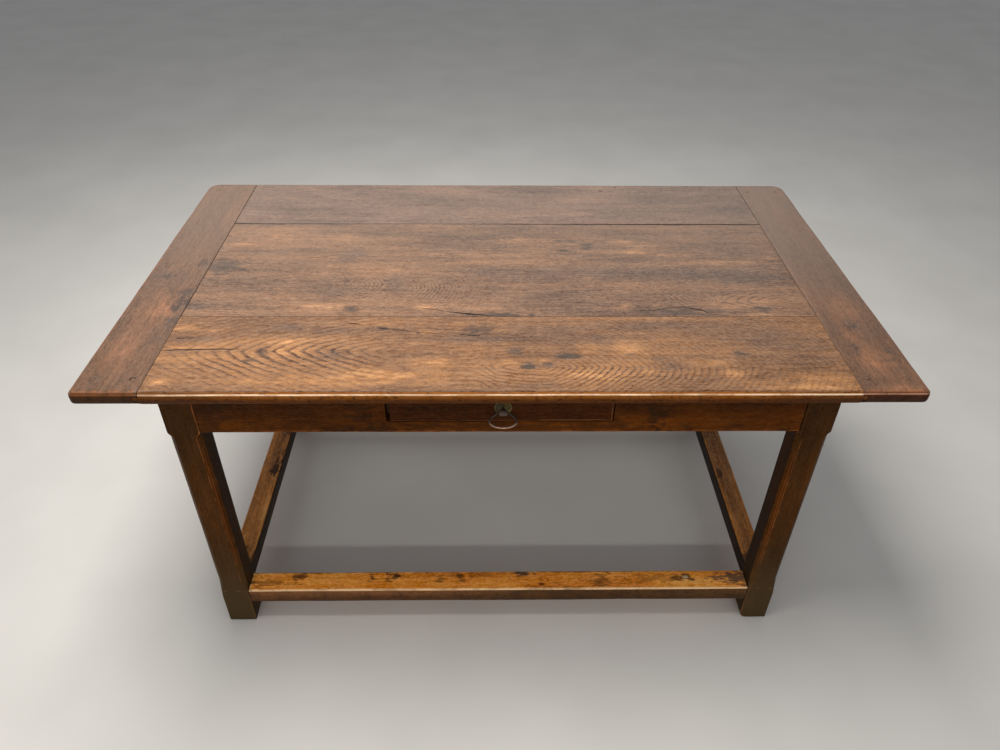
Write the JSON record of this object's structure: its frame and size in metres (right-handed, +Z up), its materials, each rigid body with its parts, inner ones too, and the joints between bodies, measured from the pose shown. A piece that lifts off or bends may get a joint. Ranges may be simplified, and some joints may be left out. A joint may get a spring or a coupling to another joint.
{
  "type": "farmhouse table",
  "caption": "Rectangular oak farmhouse table: boarded top between end cleats, square chamfered legs, low stretchers all round and one shallow front drawer with a hanging ring pull.",
  "frame": {"origin": "on the floor, under the centre of the table top", "axes": "+X to the right of someone who faces the drawer, -Y out of the drawer side, +Z up"},
  "size_m": [1.52, 0.89, 0.75],
  "materials": {
    "top_oak": "old waxed oak, mid to dark brown with orange-brown and grey streaks, soft sheen",
    "cleat_oak": "old waxed oak, redder and plainer than the boards, soft sheen",
    "frame_oak": "very dark waxed oak, worn orange-brown on its edges and chamfers",
    "stretcher_oak": "oak worn golden-orange by feet on top, dark brown on its faces",
    "peg_oak": "dark end grain, waxed",
    "inner_oak": "dry unwaxed wood, planed by hand",
    "brass": "aged olive-brown brass, rubbed bright on its rim",
    "iron": "dark worn iron, rubbed bright where it is handled"
  },
  "bodies": {
    "table": {"top_board_front": "top_oak", "top_board_middle": "top_oak", "top_board_back": "top_oak", "cleat_left": "cleat_oak", "cleat_right": "cleat_oak", "cleat_peg_left_front_inner": "peg_oak", "cleat_peg_left_front_outer": "peg_oak", "cleat_peg_left_middle_inner": "peg_oak", "cleat_peg_left_middle_outer": "peg_oak", "cleat_peg_left_back_inner": "peg_oak", "cleat_peg_left_back_outer": "peg_oak", "cleat_peg_right_front_inner": "peg_oak", "cleat_peg_right_front_outer": "peg_oak", "cleat_peg_right_middle_inner": "peg_oak", "cleat_peg_right_middle_outer": "peg_oak", "cleat_peg_right_back_inner": "peg_oak", "cleat_peg_right_back_outer": "peg_oak", "leg_front_left": "frame_oak", "leg_front_right": "frame_oak", "leg_rear_left": "frame_oak", "leg_rear_right": "frame_oak", "apron_front": "frame_oak", "apron_rear": "frame_oak", "apron_left": "frame_oak", "apron_right": "frame_oak", "stretcher_front": "stretcher_oak", "stretcher_rear": "stretcher_oak", "stretcher_left": "stretcher_oak", "stretcher_right": "stretcher_oak", "top_button_front_left": "inner_oak", "top_button_front_right": "inner_oak", "top_button_rear_left": "inner_oak", "top_button_rear_right": "inner_oak", "top_button_left": "inner_oak", "top_button_right": "inner_oak", "button_screw_front_left": "iron", "button_screw_front_right": "iron", "button_screw_rear_left": "iron", "button_screw_rear_right": "iron", "button_screw_left": "iron", "button_screw_right": "iron", "drawer_runner_left": "inner_oak", "drawer_runner_right": "inner_oak", "drawer_guide_left": "inner_oak", "drawer_guide_right": "inner_oak", "drawer_kicker_left": "inner_oak", "drawer_kicker_right": "inner_oak", "drawer_stop_left": "inner_oak", "drawer_stop_right": "inner_oak"},
    "drawer": {"drawer_front": "frame_oak", "drawer_side_left": "inner_oak", "drawer_side_right": "inner_oak", "drawer_back": "inner_oak", "drawer_bottom": "inner_oak", "drawer_bottom_nail_1": "iron", "drawer_bottom_nail_2": "iron", "pull_rose": "brass", "pull_knuckle": "iron", "pull_nut": "iron"},
    "pull_ring": {"pull_ring": "iron"}
  },
  "joints": [
    {"name": "drawer_slide", "type": "slide", "parent": "table", "child": "drawer", "axis": [0, -1, 0], "range_m": [0, 0.36]},
    {"name": "ring_swing", "type": "hinge", "parent": "drawer", "child": "pull_ring", "pos_m": [0.0024, -0.3942, 0.6628], "axis": [-1, 0, 0], "range_deg": [-20, 158]}
  ]
}
